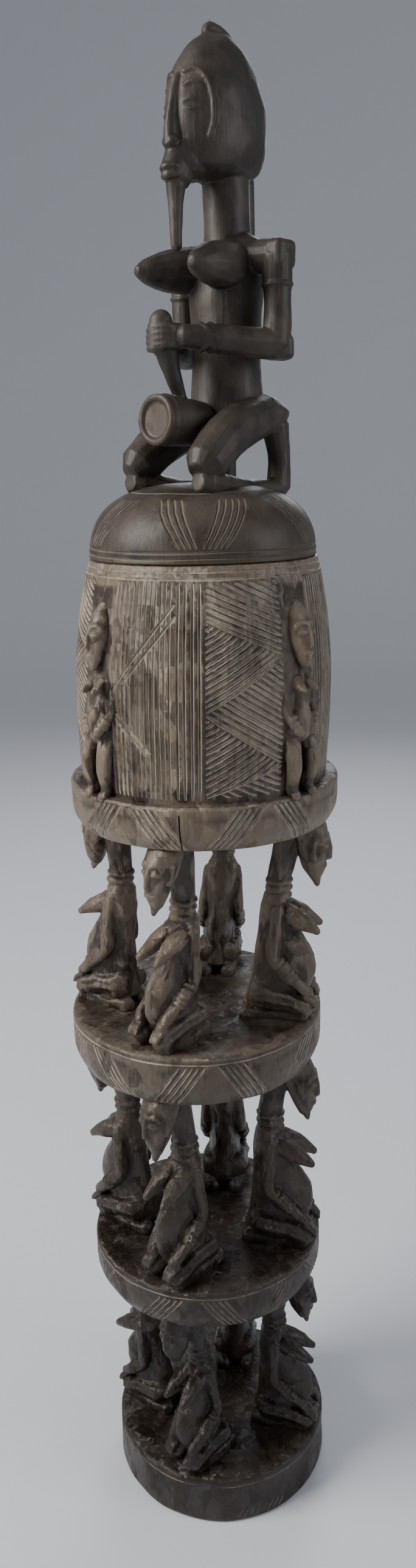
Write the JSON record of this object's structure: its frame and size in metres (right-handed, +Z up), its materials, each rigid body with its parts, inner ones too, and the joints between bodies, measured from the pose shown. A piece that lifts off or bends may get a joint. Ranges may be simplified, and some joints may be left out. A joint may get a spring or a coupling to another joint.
{
  "type": "dogon wooden sculpture",
  "caption": "Tall carved wooden container: kneeling figures carry stacked discs and a barrel vessel with figures in relief; its lift-off domed lid bears a kneeling drummer.",
  "frame": {"origin": "middle of the foot's underside, where it stands on the floor", "axes": "+Z up through the stack, -Y the way that the figure on the lid faces, +X towards that figure's left hand"},
  "size_m": [0.2561, 0.2557, 1.3574],
  "materials": {
    "column_wood": "blackened dusty hardwood, satin, with incised lines",
    "lid_wood": "blackened handled hardwood, satin to polished"
  },
  "bodies": {
    "root": {"carved_column": "column_wood", "lid_with_drummer": "lid_wood"}
  },
  "joints": []
}
